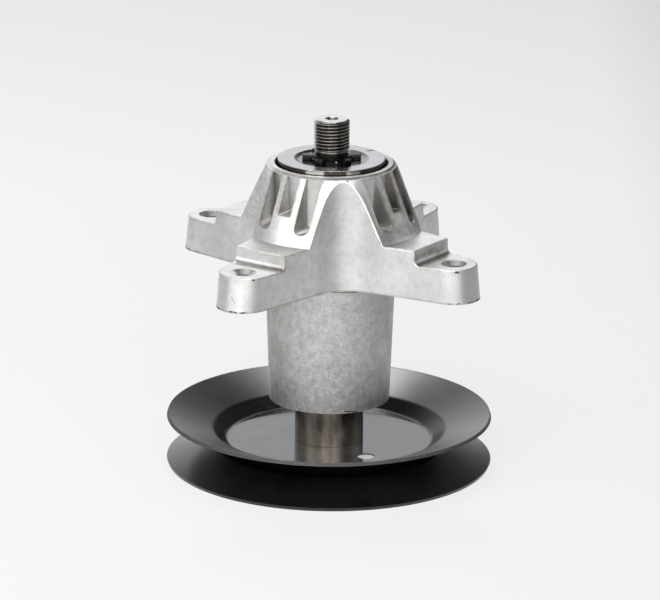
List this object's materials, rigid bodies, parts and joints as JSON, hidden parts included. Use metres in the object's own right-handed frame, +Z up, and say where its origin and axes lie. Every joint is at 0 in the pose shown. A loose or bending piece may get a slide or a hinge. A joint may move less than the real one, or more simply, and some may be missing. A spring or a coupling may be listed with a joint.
{
  "type": "mower deck spindle",
  "caption": "Mower blade spindle: cast housing with a slotted cone and drilled arms, star-ended shaft with a threaded stub, and a V-belt pulley of pressed sheet.",
  "frame": {"origin": "on the shaft's axis, at the level of the pulley's lower rim, on which the part stands", "axes": "+Z up the shaft towards the threaded stub, +X to the right and +Y away from the camera of the picture"},
  "size_m": [0.146, 0.146, 0.1587],
  "materials": {
    "cast_aluminium": "as cast",
    "dark_steel": "dark turned",
    "bright_steel": "turned",
    "tube_steel": "brown drawn",
    "black_paint": "satin black",
    "zinc_steel": "zinc plated",
    "bearing_steel": "ground",
    "cage_steel": "pressed",
    "seal_rubber": "matt"
  },
  "bodies": {
    "housing": {"housing": "cast_aluminium", "lower_bearing_outer_ring": "bearing_steel", "lower_bearing_bottom_seal": "seal_rubber", "lower_bearing_top_seal": "seal_rubber", "upper_bearing_outer_ring": "bearing_steel", "upper_bearing_bottom_seal": "seal_rubber", "upper_bearing_top_seal": "seal_rubber"},
    "spindle": {"shaft": "dark_steel", "blade_flange": "bright_steel", "inner_spacer": "tube_steel", "outer_spacer": "tube_steel", "pulley_upper_sheet": "black_paint", "pulley_lower_sheet": "black_paint", "pulley_nut": "zinc_steel", "lower_bearing_inner_ring": "bearing_steel", "upper_bearing_inner_ring": "bearing_steel"},
    "lower_cage": {"lower_bearing_cage": "cage_steel", "lower_bearing_balls": "bearing_steel"},
    "upper_cage": {"upper_bearing_cage": "cage_steel", "upper_bearing_balls": "bearing_steel"}
  },
  "joints": [
    {"name": "spindle_spin", "type": "hinge", "parent": "housing", "child": "spindle", "pos_m": [0, 0, 0.08], "axis": [0, 0, 1], "continuous": true},
    {"name": "lower_cage_spin", "type": "hinge", "parent": "housing", "child": "lower_cage", "pos_m": [0, 0, 0.038], "axis": [0, 0, 1], "continuous": true},
    {"name": "upper_cage_spin", "type": "hinge", "parent": "housing", "child": "upper_cage", "pos_m": [0, 0, 0.1258], "axis": [0, 0, 1], "continuous": true}
  ],
  "couplings": [
    {"joint": "lower_cage_spin", "follows": "spindle_spin", "ratio": 0.3815},
    {"joint": "upper_cage_spin", "follows": "spindle_spin", "ratio": 0.3815}
  ]
}
